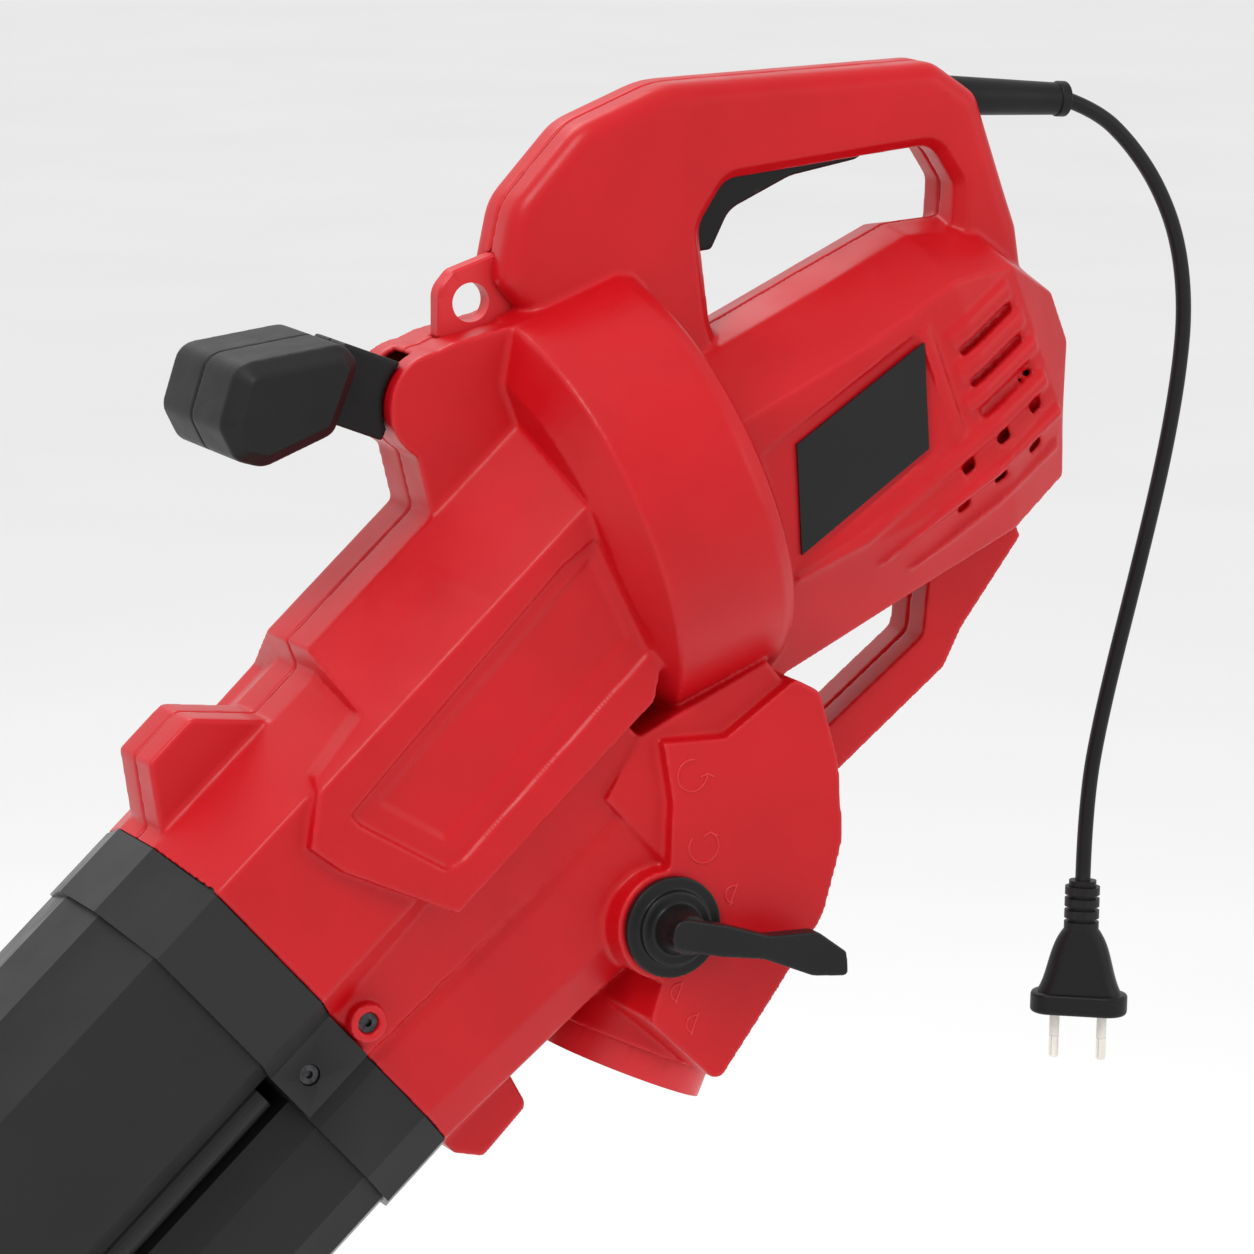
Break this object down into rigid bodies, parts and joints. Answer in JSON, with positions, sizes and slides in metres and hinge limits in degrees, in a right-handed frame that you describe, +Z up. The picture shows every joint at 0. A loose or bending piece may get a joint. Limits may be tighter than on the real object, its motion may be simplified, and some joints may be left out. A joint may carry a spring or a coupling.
{
  "type": "leaf blower",
  "caption": "Hand-held mains leaf blower and vacuum with a loop handle, tilting front grip, blow and suction tubes, mode lever and bag spigot.",
  "frame": {"origin": "centre of the hand grip in the loop handle, on the split plane", "axes": "+Z up in the carried pose, +X towards the operator, +Y to the operator's right, across the tool"},
  "size_m": [0.9492, 0.172, 0.8904],
  "materials": {
    "red_plastic": "fine-textured red moulding",
    "black_plastic": "fine-textured black moulding",
    "dark_plastic": "smooth black moulding",
    "inner_plastic": "natural glass-filled moulding",
    "pale_sleeve": "pale insulating sleeve",
    "soft_black": "soft matt black",
    "label": "satin black plate",
    "steel": "plated steel",
    "lamination": "stacked electrical steel",
    "copper": "enamelled copper wire",
    "carbon": "carbon",
    "nickel": "bright plated"
  },
  "bodies": {
    "body": {"housing_right": "red_plastic", "housing_left": "red_plastic", "housing_screws": "steel", "side_screws": "steel", "label_left": "label", "label_right": "label", "strap_eye": "red_plastic", "bag_spigot": "red_plastic", "upper_tube": "black_plastic", "lower_tube": "black_plastic", "tube_screws": "steel", "trigger_pin": "steel", "switch_body": "dark_plastic", "aux_pivot_pin": "steel", "stator_core": "lamination", "stator_windings": "copper", "front_bearing": "steel", "rear_bearing": "steel", "motor_front_bracket": "steel", "motor_rear_bracket": "steel", "motor_bolts": "steel", "fan_backplate": "inner_plastic", "brush_holders": "dark_plastic", "brushes": "carbon", "capacitor": "dark_plastic", "cord_sleeve": "soft_black", "lead_inner": "soft_black", "cord_clamp": "dark_plastic", "clamp_screws": "steel", "power_cord": "soft_black", "plug_body": "soft_black", "plug_pins": "nickel", "pin_sleeves": "pale_sleeve"},
    "trigger": {"trigger": "dark_plastic"},
    "plunger": {"switch_plunger": "dark_plastic"},
    "aux_grip": {"aux_grip_right": "black_plastic", "aux_grip_left": "black_plastic", "aux_grip_screws": "steel"},
    "lever": {"mode_lever": "black_plastic", "lever_spindle": "steel", "diverter_flap": "inner_plastic"},
    "rotor": {"rotor_shaft": "steel", "rotor_core": "lamination", "rotor_windings": "copper", "commutator": "copper", "impeller": "inner_plastic", "impeller_nut": "steel", "impeller_washer": "steel", "cooling_fan": "inner_plastic"}
  },
  "joints": [
    {"name": "trigger_squeeze", "type": "hinge", "parent": "body", "child": "trigger", "pos_m": [0.01155, 0, -0.01112], "axis": [0, 1, 0], "range_deg": [0, 5.5], "stiffness_Nm_per_rad": 4, "springref_deg": -4.58},
    {"name": "plunger_press", "type": "slide", "parent": "body", "child": "plunger", "axis": [-0.1003, 0, 0.995], "range_m": [0, 0.0046]},
    {"name": "aux_grip_tilt", "type": "hinge", "parent": "body", "child": "aux_grip", "pos_m": [-0.17577, 0, -0.10274], "axis": [0, 1, 0], "range_deg": [-20, 20]},
    {"name": "mode_lever_turn", "type": "hinge", "parent": "body", "child": "lever", "pos_m": [-0.10227, 0, -0.29988], "axis": [0, -1, 0], "range_deg": [0, 150]},
    {"name": "rotor_spin", "type": "hinge", "parent": "body", "child": "rotor", "pos_m": [-0.066, 0, -0.13372], "axis": [0.9367, 0, 0.3502], "continuous": true}
  ],
  "couplings": [
    {"joint": "plunger_press", "follows": "trigger_squeeze", "m_per_rad": 0.045}
  ]
}
